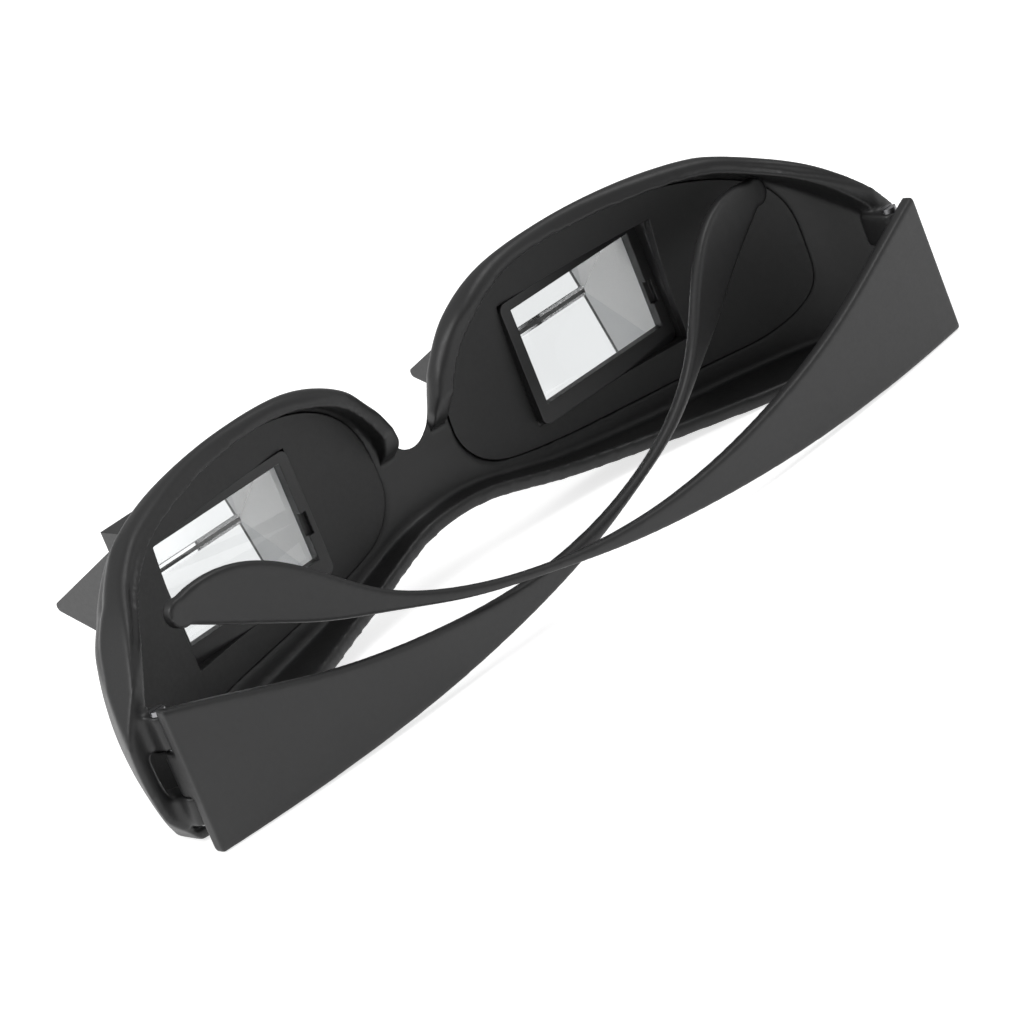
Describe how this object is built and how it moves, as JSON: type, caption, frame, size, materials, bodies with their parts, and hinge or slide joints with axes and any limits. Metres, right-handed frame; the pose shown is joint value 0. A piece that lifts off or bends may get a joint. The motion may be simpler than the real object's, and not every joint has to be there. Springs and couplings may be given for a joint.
{
  "type": "prism bed glasses",
  "caption": "Black wraparound glasses with wedge prism modules that turn the view downwards for reading lying flat, temples folded behind the front.",
  "frame": {"origin": "on the ground under the middle of the folded object's width and depth", "axes": "+X to the wearer's right, +Y to the wearer's side, away from the prism modules, +Z from the brow edge it rests on up to the nose notch"},
  "size_m": [0.1586, 0.0674, 0.0405],
  "materials": {
    "frame_black": "satin black injection moulded plastic",
    "module_black": "fine matte black injection moulded plastic",
    "prism_glass": "clear polished optical glass",
    "screw_steel": "dark plated steel screw"
  },
  "bodies": {
    "front": {"front_frame": "frame_black", "lens_panel_right": "frame_black", "lens_panel_left": "frame_black", "prism_hood_right": "module_black", "prism_hood_left": "module_black", "mirror_cover_right": "module_black", "mirror_cover_left": "module_black", "bezel_right": "module_black", "bezel_left": "module_black", "prism_right": "prism_glass", "prism_left": "prism_glass", "hinge_pin_right": "screw_steel", "hinge_pin_left": "screw_steel"},
    "right_temple": {"temple_right": "frame_black"},
    "left_temple": {"temple_left": "frame_black"}
  },
  "joints": [
    {"name": "temple_left_fold", "type": "hinge", "parent": "front", "child": "left_temple", "pos_m": [-0.0742, 0.02367, 0.012], "axis": [0, 0, 1], "range_deg": [0, 90]},
    {"name": "temple_right_fold", "type": "hinge", "parent": "front", "child": "right_temple", "pos_m": [0.0742, 0.02367, 0.012], "axis": [0, 0, -1], "range_deg": [0, 80]}
  ],
  "couplings": [
    {"joint": "temple_right_fold", "follows": "temple_left_fold", "ratio": 0.885}
  ]
}
